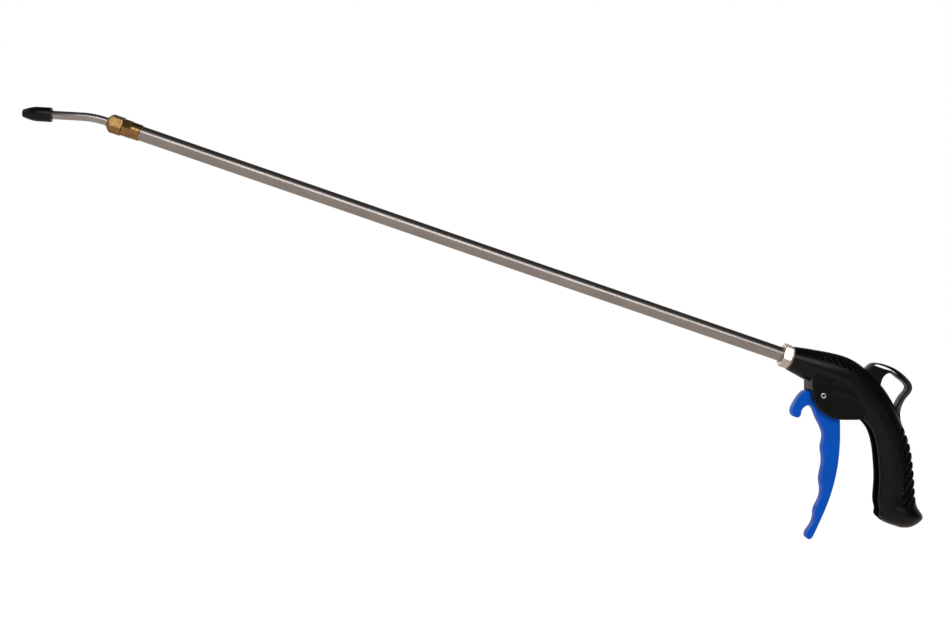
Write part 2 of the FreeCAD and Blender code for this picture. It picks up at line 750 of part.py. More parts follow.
def save(name, shape):
    shape = shape.copy()
    shape.translate(V(-INLET_X, 0, -INLET_Z))
    solids = shape.Solids
    box = shape.BoundBox
    print(
        f"{name:24s} solids {len(solids)} valid {shape.isValid()} volume {shape.Volume:10.1f}  "
        f"x {box.XMin:.1f}..{box.XMax:.1f}  y {box.YMin:.1f}..{box.YMax:.1f}  "
        f"z {box.ZMin:.1f}..{box.ZMax:.1f}"
    )
    (solids[0] if len(solids) == 1 else shape).exportStep(f"parts/{name}.step")


os.makedirs("parts", exist_ok=True)
for piece, make in PIECES.items():
    save(piece, make())
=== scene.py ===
import json
import math

import bmesh
import bpy
import numpy as np
from mathutils import Matrix, Vector


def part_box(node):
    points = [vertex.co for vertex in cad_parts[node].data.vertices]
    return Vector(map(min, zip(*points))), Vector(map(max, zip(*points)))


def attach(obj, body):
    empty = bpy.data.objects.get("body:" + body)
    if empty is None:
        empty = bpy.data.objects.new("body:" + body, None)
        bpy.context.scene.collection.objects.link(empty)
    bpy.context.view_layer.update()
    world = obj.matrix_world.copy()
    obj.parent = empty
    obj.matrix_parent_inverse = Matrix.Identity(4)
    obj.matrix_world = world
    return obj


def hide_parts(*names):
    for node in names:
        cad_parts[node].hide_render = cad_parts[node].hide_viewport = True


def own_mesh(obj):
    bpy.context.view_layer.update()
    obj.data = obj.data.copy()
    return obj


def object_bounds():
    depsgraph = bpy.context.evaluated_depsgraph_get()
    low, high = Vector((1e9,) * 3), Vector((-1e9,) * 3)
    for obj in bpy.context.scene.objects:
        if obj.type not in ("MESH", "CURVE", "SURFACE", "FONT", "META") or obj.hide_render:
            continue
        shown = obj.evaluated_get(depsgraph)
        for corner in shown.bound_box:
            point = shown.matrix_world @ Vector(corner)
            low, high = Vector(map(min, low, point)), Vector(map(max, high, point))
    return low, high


# A compressed-air blow gun with a long extension pipe and a bent nozzle, dressed for rendering.
# Shapes are drawn in millimetres with x running rearward from the front of the barrel nut and
# z up from the barrel's axis, as the parts are, and at() places them in the scene in metres.

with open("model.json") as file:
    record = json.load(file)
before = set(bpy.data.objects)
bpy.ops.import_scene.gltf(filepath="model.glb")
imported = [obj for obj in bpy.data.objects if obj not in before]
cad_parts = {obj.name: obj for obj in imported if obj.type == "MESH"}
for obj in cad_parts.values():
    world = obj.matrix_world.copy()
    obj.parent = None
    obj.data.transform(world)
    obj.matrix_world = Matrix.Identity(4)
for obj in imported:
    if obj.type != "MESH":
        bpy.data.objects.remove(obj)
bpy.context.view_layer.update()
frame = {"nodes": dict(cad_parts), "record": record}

MM = 0.001
INLET_X = 119.0
INLET_Z = -93.0


def at(x, z, y=0.0):
    return Vector(((x - INLET_X) * MM, y * MM, (z - INLET_Z) * MM))


# ---- curves ----
def spline(points, per_span, closed=False):
    """Rows of numbers along the smooth cubic curve through the given rows."""
    p = np.array(points, float)
    if closed:
        p = np.vstack([p, p[:1]])
    steps = np.linalg.norm(np.diff(p[:, :2], axis=0), axis=1)
    t = np.concatenate([[0.0], np.cumsum(steps)])
    h = np.diff(t)
    n = len(t)
    a = np.zeros((n, n))
    b = np.zeros((n, p.shape[1]))
    for i in range(1, n - 1):
        a[i, i - 1 : i + 2] = h[i - 1], 2 * (h[i - 1] + h[i]), h[i]
        b[i] = 6 * ((p[i + 1] - p[i]) / h[i] - (p[i] - p[i - 1]) / h[i - 1])
    if closed:
        a[0, 0], a[0, -1] = 1, -1
        a[-1, 0], a[-1, 1], a[-1, -2], a[-1, -1] = 2 * h[0], h[0], h[-1], 2 * h[-1]
        b[-1] = 6 * ((p[1] - p[0]) / h[0] - (p[-1] - p[-2]) / h[-1])
    else:
        a[0, 0] = a[-1, -1] = 1
    m = np.linalg.solve(a, b)
    rows = []
    for i in range(n - 1):
        for k in range(per_span):
            u = k / per_span * h[i]
            v = h[i] - u
            rows.append(
                (m[i] * v**3 + m[i + 1] * u**3) / (6 * h[i])
                + (p[i] / h[i] - m[i] * h[i] / 6) * v
                + (p[i + 1] / h[i] - m[i + 1] * h[i] / 6) * u
            )
    if not closed:
        rows.append(p[-1])
    return np.array(rows)


def evened(rows, count):
    """The same line as count + 1 evenly spaced rows."""
    steps = np.linalg.norm(np.diff(rows, axis=0), axis=1)
    along = np.concatenate([[0.0], np.cumsum(steps)])
    marks = np.linspace(0, along[-1], count + 1)
    return np.column_stack([np.interp(marks, along, rows[:, k]) for k in range(rows.shape[1])])


def ease(value):
    value = min(max(value, 0.0), 1.0)
    return value * value * (3 - 2 * value)


# ---- materials ----
# Pointiness range and near-black colour of the painted shade in narrow hollows and groove floors.
HOLLOW_POINTINESS = (0.44, 0.495)
HOLLOW_SHADE_COLOUR = (0.0006, 0.0006, 0.0006)
EDGE_WEAR_AND_HIGHLIGHT_BREAKS = (0.42, 0.62)
COAT_ROUGHNESS = 0.12


def link(tree, a, b):
    tree.links.new(a, b)


def noise(tree, coords, scale, detail=2.0, stretch=(1, 1, 1)):
    """Noise whose scale is in features per millimetre, stretched along the axes."""
    mapping = tree.nodes.new("ShaderNodeMapping")
    mapping.inputs["Scale"].default_value = [1000 * scale / s for s in stretch]
    link(tree, coords, mapping.inputs["Vector"])
    texture = tree.nodes.new("ShaderNodeTexNoise")
    texture.inputs["Scale"].default_value = 1.0
    texture.inputs["Detail"].default_value = detail
    link(tree, mapping.outputs["Vector"], texture.inputs["Vector"])
    return texture.outputs["Fac"]


def spread(tree, value, low, high, start=0.3, end=0.7):
    node = tree.nodes.new("ShaderNodeMapRange")
    node.inputs["From Min"].default_value = start
    node.inputs["From Max"].default_value = end
    node.inputs["To Min"].default_value = low
    node.inputs["To Max"].default_value = high
    link(tree, value, node.inputs["Value"])
    return node.outputs["Result"]


def mixed(tree, share, first, second):
    node = tree.nodes.new("ShaderNodeMix")
    node.data_type = "RGBA"
    colours = [s for s in node.inputs if s.type == "RGBA"]
    for socket, value in zip(colours, (first, second)):
        if isinstance(value, tuple):
            socket.default_value = (*value, 1)
        else:
            link(tree, value, socket)
    if isinstance(share, float):
        node.inputs["Factor"].default_value = share
    else:
        link(tree, share, node.inputs["Factor"])
    return [s for s in node.outputs if s.type == "RGBA"][0]


def bumped(tree, height, depth_mm, strength=1.0, before=None):
    node = tree.nodes.new("ShaderNodeBump")
    node.inputs["Distance"].default_value = depth_mm * MM
    node.inputs["Strength"].default_value = strength
    link(tree, height, node.inputs["Height"])
    if before is not None:
        link(tree, before, node.inputs["Normal"])
    return node.outputs["Normal"]


def material(name, dark, light, rough, metallic=0.0, cloud=0.06, grain=2.5, grain_depth=0.01,
             streak=None, streak_depth=0.004, edge_wear_and_highlight=None, specular=0.5, coat=0.0, shade_hollows=False):
    """A surface with clouded colour, uneven gloss, fine relief and lighter edges, which are worn edges
    and on black nylon also a painted highlight on the rims. When asked, it also gets painted shade, a
    near-black colour with duller gloss, in its narrow hollows and on vertices whose "sunk" is 1."""
    made = bpy.data.materials.new(name)
    made.use_nodes = True
    tree = made.node_tree
    shader = tree.nodes["Principled BSDF"]
    coords = tree.nodes.new("ShaderNodeTexCoord").outputs["Object"]
    clouds = noise(tree, coords, cloud, 3.0)
    colour = mixed(tree, spread(tree, clouds, 0.0, 1.0), dark, light)
    fine = noise(tree, coords, grain, 2.0)
    relief = bumped(tree, fine, grain_depth)
    gloss = noise(tree, coords, cloud * 2.3, 4.0)
    if streak:
        lines = noise(tree, coords, streak[0], 2.0, streak[1])
        colour = mixed(tree, spread(tree, lines, 0.0, 0.3), colour, tuple(0.7 * c for c in light))
        relief = bumped(tree, lines, streak_depth, before=relief)
    # lighter colour on convex edges: worn edges, and with black nylon's bright edge colour also a
    # painted highlight on the rims
    if edge_wear_and_highlight:
        geometry = tree.nodes.new("ShaderNodeNewGeometry")
        edge = spread(tree, geometry.outputs["Pointiness"], 0.0, 1.0, edge_wear_and_highlight[0], edge_wear_and_highlight[1])
        broken = tree.nodes.new("ShaderNodeMath")
        broken.operation = "MULTIPLY"
        link(tree, edge, broken.inputs[0])
        patches = spread(tree, noise(tree, coords, 0.5, 4.0), 0.0, 1.0, *EDGE_WEAR_AND_HIGHLIGHT_BREAKS)
        link(tree, patches, broken.inputs[1])
        colour = mixed(tree, broken.outputs["Value"], colour, edge_wear_and_highlight[2])
    gloss = spread(tree, gloss, rough[0], rough[1])
    if shade_hollows:
        geometry = tree.nodes.new("ShaderNodeNewGeometry")
        corner = spread(tree, geometry.outputs["Pointiness"], 1.0, 0.0, *HOLLOW_POINTINESS)
        sunk = tree.nodes.new("ShaderNodeAttribute")
        sunk.attribute_name = "sunk"
        deepest = tree.nodes.new("ShaderNodeMath")
        deepest.operation = "MAXIMUM"
        link(tree, corner, deepest.inputs[0])
        link(tree, sunk.outputs["Fac"], deepest.inputs[1])
        hollow = deepest.outputs["Value"]
        # painted shade: narrow hollows and sunk groove floors are darkened in colour, and their gloss is
        # dulled
        colour = mixed(tree, hollow, colour, HOLLOW_SHADE_COLOUR)
        dulled = tree.nodes.new("ShaderNodeMath")
        dulled.operation = "MAXIMUM"
        link(tree, gloss, dulled.inputs[0])
        link(tree, hollow, dulled.inputs[1])
        gloss = dulled.outputs["Value"]
    link(tree, colour, shader.inputs["Base Color"])
    link(tree, gloss, shader.inputs["Roughness"])
    link(tree, relief, shader.inputs["Normal"])
    shader.inputs["Metallic"].default_value = metallic
    shader.inputs["Specular IOR Level"].default_value = specular
    shader.inputs["Coat Weight"].default_value = coat
    shader.inputs["Coat Roughness"].default_value = COAT_ROUGHNESS
    return made


ALONG_PIPE = (60, 1, 1)
LOOKS = {
    # Black nylon's lighter edge colour is partly wear and partly a painted highlight on rims and the
    # panel border; its hollows get painted shade.
    "black_nylon": material("black_nylon", (0.003, 0.003, 0.0042), (0.005, 0.005, 0.0066), (0.24, 0.32),
                            grain=3.0, grain_depth=0.006, edge_wear_and_highlight=(0.52, 0.58, (0.07, 0.07, 0.076)),
                            specular=0.25, shade_hollows=True),
    "blue_nylon": material("blue_nylon", (0.0, 0.13, 0.82), (0.0, 0.15, 0.92), (0.24, 0.32),
                           grain=3.5, grain_depth=0.004, edge_wear_and_highlight=(0.53, 0.62, (0.10, 0.24, 0.72)),
                           specular=0.15),
    "brushed_pipe": material("brushed_pipe", (0.40, 0.36, 0.34), (0.48, 0.44, 0.415), (0.30, 0.36), 1.0,
                             cloud=0.03, grain=6.0, grain_depth=0.0, streak=(1.5, ALONG_PIPE),
                             streak_depth=0.0001),
    "nickel": material("nickel", (0.68, 0.60, 0.53), (0.80, 0.72, 0.65), (0.10, 0.22), 1.0,
                       grain=5.0, grain_depth=0.002),
    "fitting_brass": material("fitting_brass", (0.30, 0.16, 0.06), (0.42, 0.25, 0.10), (0.28, 0.42), 1.0,
                              cloud=0.25, grain=4.0, grain_depth=0.003,
                              edge_wear_and_highlight=(0.52, 0.58, (0.80, 0.58, 0.32))),
    "nozzle_steel": material("nozzle_steel", (0.46, 0.42, 0.41), (0.55, 0.51, 0.50), (0.28, 0.34), 1.0,
                             cloud=0.05, grain=6.0, grain_depth=0.0, streak=(1.5, ALONG_PIPE),
                             streak_depth=0.0001),
    "black_rubber": material("black_rubber", (0.002, 0.002, 0.003), (0.004, 0.004, 0.005), (0.26, 0.36),
                             grain=4.0, grain_depth=0.004, specular=0.3),
    "seal_rubber": material("seal_rubber", (0.006, 0.006, 0.006), (0.014, 0.014, 0.014), (0.45, 0.60)),
    "rivet_steel": material("rivet_steel", (0.60, 0.59, 0.57), (0.76, 0.75, 0.73), (0.20, 0.34), 1.0,
                            cloud=0.4, grain=6.0, grain_depth=0.003),
    "spring_steel": material("spring_steel", (0.32, 0.31, 0.30), (0.45, 0.44, 0.42), (0.25, 0.38), 1.0,
                             cloud=0.5, grain=6.0, grain_depth=0.002),
    "washer_nylon": material("washer_nylon", (0.34, 0.31, 0.27), (0.44, 0.41, 0.36), (0.38, 0.50),
                             cloud=0.3),
}
for part in frame["record"]["subparts"]:
    shown = frame["nodes"][part["node"]].data
    shown.materials.clear()
    shown.materials.append(LOOKS[part["material_slot"]])


# ---- building pieces ----
def finished(bm, name, slot, body, replaces=(), crease=35.0):
    """Turns a bmesh into a piece with smooth shading that stays crisp at its edges."""
    bmesh.ops.remove_doubles(bm, verts=bm.verts, dist=1e-7)
    bmesh.ops.recalc_face_normals(bm, faces=bm.faces)
    mesh = bpy.data.meshes.new(name)
    bm.to_mesh(mesh)
    bm.free()
    piece = bpy.data.objects.new(name, mesh)
    bpy.context.scene.collection.objects.link(piece)
    mesh.shade_smooth()
    mesh.set_sharp_from_angle(angle=math.radians(crease))
    mesh.materials.append(LOOKS[slot])
    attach(piece, body)
    if replaces:
        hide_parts(*replaces)
    return piece


def skin(bm, rings, closed=True):
    """Quads between rings of vertices that follow each other."""
    for first, second in zip(rings, rings[1:]):
        count = len(first)
        for k in range(count if closed else count - 1):
            j = (k + 1) % count
            corners = list(dict.fromkeys([first[k], first[j], second[j], second[k]]))
            if len(corners) > 2:
                bm.faces.new(corners)


def ring_at(bm, middle, across, up, radius_at, sides):
    ring = []
    for k in range(sides):
        angle = 2 * math.pi * k / sides
        side = across * math.cos(angle) + up * math.sin(angle)
        ring.append(bm.verts.new(middle + side * radius_at(angle) * MM))
    return ring


def turned(bm, profile, origin, heading, sides=96, shape=None):
    """A turned shape from (distance along, radius) corners in millimetres, measured from origin
    along heading. shape(along, radius, angle) may change the radius round each ring."""
    heading = heading.normalized()
    level = Vector((0, 1, 0)) if abs(heading.y) < 0.9 else Vector((1, 0, 0))
    up = heading.cross(level).normalized()
    across = up.cross(heading)
    rings = []
    for along, radius in profile:
        middle = origin + heading * along * MM
        if radius < 1e-6:
            rings.append([bm.verts.new(middle)] * sides)
        elif shape:
            rings.append(ring_at(bm, middle, across, up, lambda t: shape(along, radius, t), sides))
        else:
            rings.append(ring_at(bm, middle, across, up, lambda t: radius, sides))
    skin(bm, rings)
    if len(profile) > 2 and profile[0] == profile[-1]:
        bmesh.ops.remove_doubles(bm, verts=bm.verts, dist=1e-7)


def hexagon(flats, turn=0.0, soft=0.12):
    """Limits a ring to a hexagon whose corners are slightly rounded."""
    def shape(along, radius, angle):
        nearest = (math.degrees(angle) - turn + 30) % 60 - 30
        flat = flats / 2 / math.cos(math.radians(nearest))
        gap = max(soft - abs(flat - radius), 0.0) / soft
        return min(flat, radius) - gap * gap * soft / 4
    return shape


def stepped(profile, longest=0.2):
    """The same profile with extra points, so that no step is longer than this."""
    rows = [profile[0]]
    for a, b in zip(profile, profile[1:]):
        parts = max(1, math.ceil(math.dist(a, b) / longest))
        rows += [(a[0] + (b[0] - a[0]) * k / parts, a[1] + (b[1] - a[1]) * k / parts)
                 for k in range(1, parts + 1)]
    return rows


CAP_RING = 0.5
CAP_RING_FROM = 0.8


def plate(bm, loops, low, high, rim, steps=4):
    """A flat plate across y with rounded rims. The first loop goes round it, others are holes.
    A narrow flat ring inside a wide rim keeps the rim's lighter edge colour, which is wear and on black
    nylon also a painted highlight, off the plate's faces."""
    arcs = [math.pi / 2 * k / steps for k in range(steps + 1)]
    levels = [(low + rim * (1 - math.sin(a)), rim * (1 - math.cos(a))) for a in reversed(arcs)]
    levels += [(high - rim * (1 - math.sin(a)), rim * (1 - math.cos(a))) for a in arcs]
    caps = ([], [])
    for index, loop in enumerate(loops):
        p = np.array(loop, float)
        ahead, behind = np.roll(p, -1, axis=0), np.roll(p, 1, axis=0)
        area = np.sum(p[:, 0] * ahead[:, 1] - ahead[:, 0] * p[:, 1])
        inward = (1 if area > 0 else -1) * (1 if index == 0 else -1)
        a = (ahead - p) / np.linalg.norm(ahead - p, axis=1)[:, None]
        b = (p - behind) / np.linalg.norm(p - behind, axis=1)[:, None]
        middle = a + b
        length = np.linalg.norm(middle, axis=1)[:, None]
        normal = np.column_stack([-middle[:, 1], middle[:, 0]]) / length * inward
        normal = normal / np.clip(length / 2, 0.7, 1.0)
        rings = []
        for y, inset in levels:
            q = p + normal * inset
            rings.append([bm.verts.new(at(x, z, y)) for x, z in q])
        skin(bm, rings)
        for cap, ring in zip(caps, (rings[0], rings[-1])):
            for k in range(len(ring)):
                edge = bm.edges.get((ring[k], ring[(k + 1) % len(ring)]))
                edge.smooth = False
                cap.append(edge)
    for cap in caps:
        filled = bmesh.ops.triangle_fill(bm, use_beauty=True, use_dissolve=False, edges=cap)["geom"]
        faces = [g for g in filled if isinstance(g, bmesh.types.BMFace)]
        if rim >= CAP_RING_FROM:
            bmesh.ops.recalc_face_normals(bm, faces=faces)
            bmesh.ops.inset_region(bm, faces=faces, thickness=CAP_RING * MM, use_boundary=True,
                                   use_even_offset=False)


# ---- the moulded body: barrel, elbow, grip and foot as one skin ----
# Each station has the point on its back, the point on its belly, its half width and how
# square it is towards the belly.
BARREL_MOUTH_X = 5.5
STATIONS = [
    (BARREL_MOUTH_X, 8.5, BARREL_MOUTH_X, -9.5, 9.0, 2.0),
    (13.0, 10.0, 13.0, -10.8, 10.0, 2.0),
    (22.0, 11.5, 22.0, -12.4, 10.9, 2.0),
    (34.0, 13.2, 34.0, -13.5, 11.3, 2.0),
    (46.0, 13.7, 46.0, -15.0, 11.3, 2.1),
    (57.0, 11.6, 54.0, -18.0, 11.2, 2.3),
    (68.3, 6.8, 60.5, -22.0, 11.1, 2.6),
    (79.7, 0.5, 67.5, -25.5, 11.2, 3.0),
    (91.0, -9.0, 74.5, -28.5, 11.6, 3.2),
    (101.2, -20.2, 81.4, -34.1, 12.0, 3.4),
    (110.5, -31.2, 87.5, -43.6, 12.3, 3.4),
    (118.0, -44.4, 92.1, -53.6, 12.4, 3.4),
    (124.2, -58.0, 96.2, -64.0, 12.4, 3.4),
    (128.6, -68.2, 98.9, -74.0, 12.3, 3.3),
    (133.4, -75.3, 101.0, -80.8, 12.8, 3.0),
    (138.7, -80.2, 103.6, -85.6, 13.8, 2.7),
]
FOOT_CENTRE = (119.2, -93.4)
FOOT_STEPS = (28.0, 52.0, 72.0)
FOOT_FULLNESS = 0.8
BACK_SQUARENESS = 2.1
SECTION_STEPS = 240
SIDE_STEPS = 42
BELLY_STEPS = 16
SLOT_Y = 5.1
LIP = 0.9
TROUGH_FLOOR = [
    (28.2, -11.8),
    (40.0, -11.8),
    (50.0, -11.9),
    (60.0, -14.2),
    (72.0, -18.0),
    (83.0, -24.5),
    (92.5, -36.5),
    (100.5, -53.0),
    (105.5, -68.0),
    (108.0, -82.0),
    (109.6, -97.0),
]


def foot_stations():
    """Below the foot's rim, shrinking sections that make its underside a pillow."""
    bx, bz, lx, lz, half_width, squareness = STATIONS[-1]
    cx, cz = (bx + lx) / 2, (bz + lz) / 2
    hx, hz = (bx - lx) / 2, (bz - lz) / 2
    rows = []
    for step in FOOT_STEPS:
        down = math.sin(math.radians(step))
        size = math.cos(math.radians(step)) ** FOOT_FULLNESS
        x = cx + (FOOT_CENTRE[0] - cx) * down
        z = cz + (FOOT_CENTRE[1] - cz) * down
        tilt = hz * size * (1 - down)
        rows.append((x + hx * size, z + tilt, x - hx * size, z - tilt, half_width * size, squareness))
    return rows


def trough_share(back, belly, floor):
    """How far from the belly towards the back the trough's floor lies, or 0 where there is none."""
    line = back - belly
    side = floor - belly
    cross = line[0] * side[:, 1] - line[1] * side[:, 0]
    for k in range(len(cross) - 1):
        if cross[k] * cross[k + 1] <= 0 and cross[k] != cross[k + 1]:
            point = floor[k] + (floor[k + 1] - floor[k]) * cross[k] / (cross[k] - cross[k + 1])
            return float(np.dot(point - belly, line) / np.dot(line, line))
    return 0.0


def half_ring(row, floor):
    """One side of a section, from its back round to the middle of its belly or trough."""
    back, belly = np.array(row[0:2]), np.array(row[2:4])
    half_width, squareness = row[4], row[5]
    centre, half = (back + belly) / 2, (back - belly) / 2
    reach = np.linalg.norm(half)
    outline = []
    for k in range(SECTION_STEPS + 1):
        angle = math.pi * k / SECTION_STEPS
        along, across = math.cos(angle), math.sin(angle)
        exponent = 2 / (BACK_SQUARENESS if along > 0 else squareness)
        outline.append((math.copysign(abs(along) ** exponent, along) * reach,
                        max(across, 0.0) ** exponent * half_width))
    outline = np.array(outline)
    depth = max(trough_share(back, belly, floor), 0.0) * 2 * reach
    open_ = ease(depth / 2.0) * ease((half_width - SLOT_Y - LIP - 0.3) / 1.5)
    past_lip = (outline[:, 0] < 0) & (outline[:, 1] < SLOT_Y + LIP)
    stop = np.argmax(past_lip)
    outer = evened(outline[: stop + 1], SIDE_STEPS)
    closed_tail = evened(outline[stop:], BELLY_STEPS)[1:]
    lip_at = outer[-1, 0]
    floor_at = -reach + depth
    turn = [(lip_at + LIP * (1 - math.cos(a)), SLOT_Y + LIP * (1 - math.sin(a)))
            for a in np.linspace(0, math.pi / 2, 6)[1:]]
    wall_top = turn[-1][0]
    floor_at = max(floor_at, wall_top + 0.6)
    wall = [(wall_top + (floor_at - 0.5 - wall_top) * k / 5, SLOT_Y) for k in range(1, 6)]
    base = [(floor_at, SLOT_Y - 0.5)] + [(floor_at, (SLOT_Y - 0.5) * (1 - k / 5)) for k in range(1, 6)]
    open_tail = np.array(turn + wall + base)
    tail = closed_tail * (1 - open_) + open_tail * open_
    ring = np.vstack([outer, tail])
    unit = half / reach
    return [(centre[0] + unit[0] * s, centre[1] + unit[1] * s, y) for s, y in ring]


def body_skin(bm):
    floor = spline(TROUGH_FLOOR, 12)
    rows = spline(STATIONS + foot_stations(), 14)
    rings = []
    for row in rows:
        half = half_ring(row, floor)
        near = [bm.verts.new(at(x, z, -y)) for x, z, y in half]
        far = [bm.verts.new(at(x, z, y)) for x, z, y in half[1:-1]]
        rings.append(near + far[::-1])
    skin(bm, rings)
    for ring in (rings[0], rings[-1]):
        bm.faces.new(ring)


# ---- grooves cut into the skin ----
GROOVE_DEPTH = 1.1
GROOVE_WALL = 0.3
BARREL_GROOVES = 7
BARREL_GROOVE_PITCH = 5.4
BARREL_GROOVE_WIDTH = 3.2
BARREL_GROOVES_FROM_X = 19.9
BARREL_GROOVE_FOOT_Z = 6.0
BARREL_GROOVE_FOOT_DROP = 0.23
SMOOTH_CREST_Y = 2.6
GRIP_GROOVES = 9
GRIP_GROOVE_WIDTH = 3.7
GRIP_GROOVE_LEAN = 70.0
GROOVED_BACK = [(99.4, -17.8), (118.0, -44.4), (128.6, -68.2)]
GROOVES_FRONT = [
    (94.4, -22.0),
    (101.2, -34.0),
    (107.9, -46.0),
    (111.7, -58.0),
    (114.5, -68.0),
    (117.2, -78.0),
]
CREST_STEPS = 200
LEDGE = ((119.6, -77.0), (128.5, -73.6))


def groove(bm, middle, across, half_width, ends, region):
    """Sinks a straight groove centred on a plane. Each end is a (place, way into the groove)."""
    faces = [f for f in bm.faces if region(f.calc_center_median())]
    wall = GROOVE_WALL
    cuts = [(middle, across, d) for d in (-half_width, wall - half_width, half_width - wall, half_width)]
    cuts += [(place, inward, d) for place, inward in ends for d in (0.0, wall)]
    for place, normal, d in cuts:
        parts = set(faces)
        for f in faces:
            parts.update(f.edges)
            parts.update(f.verts)
        cut = bmesh.ops.bisect_plane(bm, geom=list(parts), dist=1e-7, plane_co=place + normal * d * MM,
                                     plane_no=normal)
        faces = [g for g in cut["geom"] if isinstance(g, bmesh.types.BMFace)]
    moved = {}
    sunk = bm.verts.layers.float["sunk"]
    for v in {v for f in faces for v in f.verts}:
        reach = half_width - abs((v.co - middle).dot(across)) / MM
        for place, inward in ends:
            reach = min(reach, (v.co - place).dot(inward) / MM)
        share = min(max(reach / wall, 0.0), 1.0)
        if share > 0:
            moved[v] = v.co - v.normal * GROOVE_DEPTH * share * MM
            # the sunk share also sets where the material paints shade in the groove
            v[sunk] = share
    for v, place in moved.items():
        v.co = place


def barrel_grooves(bm):
    across = Vector((1, 0, 1)).normalized()
    half_width = BARREL_GROOVE_WIDTH / 2 * across.x
    for k in range(BARREL_GROOVES):
        foot = BARREL_GROOVE_FOOT_Z - BARREL_GROOVE_FOOT_DROP * k
        x = BARREL_GROOVES_FROM_X + BARREL_GROOVE_PITCH * k + BARREL_GROOVE_WIDTH / 2
        middle = at(x, foot)
        for side in (-1, 1):
            crest = Vector((0, side * SMOOTH_CREST_Y * MM, 0))
            groove(bm, middle, across, half_width,
                   [(middle, Vector((0, 0, 1))), (crest, Vector((0, side, 0)))],
                   lambda p: p.z > middle.z - MM and p.y * side > (SMOOTH_CREST_Y - 1) * MM
                   and abs((p - middle).dot(across)) < 2.5 * MM)


def grip_grooves(bm):
    crest = evened(spline(GROOVED_BACK, 40), CREST_STEPS)
    places = [at(x, z) for x, z in spline(GROOVES_FRONT, 12)]
    lean = math.radians(GRIP_GROOVE_LEAN)
    across = Vector((math.sin(lean), 0, -math.cos(lean)))
    low, high = at(*LEDGE[0]), at(*LEDGE[1])
    above = Vector((low.z - high.z, 0, high.x - low.x)).normalized()
    for k in range(GRIP_GROOVES):
        middle = at(*crest[round((k + 0.5) / GRIP_GROOVES * CREST_STEPS)])
        nearest = min(range(1, len(places) - 1), key=lambda i: abs((places[i] - middle).dot(across)))
        stop = places[nearest]
        run = places[nearest + 1] - places[nearest - 1]
        inward = Vector((-run.z, 0, run.x)).normalized()
        groove(bm, middle, across, GRIP_GROOVE_WIDTH / 2, [(stop, inward), (low, above)],
               lambda p: abs((p - middle).dot(across)) < 3 * MM and (p - stop).dot(inward) > -1.5 * MM)


# ---- trigger housing, hanging loop and blank panel ----
CHEEK_Y = 10.5
BORDER_HEIGHT = 0.6
PANEL_HEIGHT = 0.1
LOOP_Y = 4.7
CHEEK_EDGE = [
    (22.0, -8.0),
    (23.6, -12.0),
    (25.2, -16.5),
    (28.2, -23.0),
    (34.0, -28.6),
    (42.0, -31.9),
    (50.0, -32.3),
    (58.0, -30.2),
    (68.0, -26.7),
]
LOOP_OUTER = [
    (58.5, 8.5),
    (62.4, 11.6),
    (64.2, 14.8),
    (67.5, 16.9),
    (73.0, 17.7),
    (80.0, 17.5),
    (87.0, 15.9),
    (93.2, 13.2),
    (98.0, 9.4),
    (98.9, 5.2),
    (97.0, 0.0),
    (95.8, -5.2),
    (96.0, -11.5),
    (98.2, -17.0),
    (102.2, -22.5),
]
LOOP_HOLE = [
    (75.4, 2.5),
    (75.2, 7.0),
    (77.2, 11.6),
    (80.4, 13.3),
    (86.0, 11.9),
    (92.5, 9.6),
    (95.4, 7.2),
    (94.2, 1.5),
    (92.6, -4.0),
    (91.6, -9.0),
    (88.0, -14.0),
    (77.0, -4.0),
]


def joined(curve, corners):
    return [tuple(p) for p in curve] + list(corners)


def round_box(x0, z0, x1, z1, corner, steps=8):
    points = []
    for cx, cz, start in ((x1 - corner, z1 - corner, 0), (x0 + corner, z1 - corner, 90),
                          (x0 + corner, z0 + corner, 180), (x1 - corner, z0 + corner, 270)):
        for k in range(steps + 1):
            a = math.radians(start + 90 * k / steps)
            points.append((cx + corner * math.cos(a), cz + corner * math.sin(a)))
    return points


def add_housing(bm):
    edge = spline(CHEEK_EDGE, 10)
    outline = joined(edge, [(69.5, -25.3), (69.5, -6.0), (60.0, 0.0), (24.0, 0.0), (22.6, -4.0)])
    border = [round_box(37.0, -17.0, 66.5, -6.5, 2.4), round_box(38.2, -15.8, 65.3, -7.7, 1.3)[::-1]]
    panel = [round_box(38.0, -16.0, 65.5, -7.5, 1.8)]
    for side in (-1, 1):
        low, high = sorted((side * SLOT_Y, side * CHEEK_Y))
        plate(bm, [outline], low, high, 0.9)
        for height, rim, loops in ((BORDER_HEIGHT, 0.35, border), (PANEL_HEIGHT, 0.05, panel)):
            low, high = sorted((side * (CHEEK_Y - 1), side * (CHEEK_Y + height)))
            plate(bm, loops, low, high, rim)
    wall = [(22.0, -8.0), (23.6, -12.0), (25.2, -16.5), (25.8, -17.6), (26.6, -18.3), (28.2, -18.3),
            (28.2, 0.0), (24.0, 0.0)]
    plate(bm, [wall], -SLOT_Y - 1, SLOT_Y + 1, 0.2)


def add_loop(bm):
    outer = joined(spline(LOOP_OUTER, 10), [(94.0, -24.0), (66.0, 0.0)])
    hole = spline(LOOP_HOLE, 10, closed=True)
    plate(bm, [outer, [tuple(p) for p in hole]], -LOOP_Y, LOOP_Y, 1.1)


bm = bmesh.new()
bm.verts.layers.float.new("sunk")
body_skin(bm)
bmesh.ops.recalc_face_normals(bm, faces=bm.faces)
bm.normal_update()
barrel_grooves(bm)
grip_grooves(bm)
add_housing(bm)
add_loop(bm)
finished(bm, "moulded_body", "black_nylon", "gun", ("gun_body",), 40)

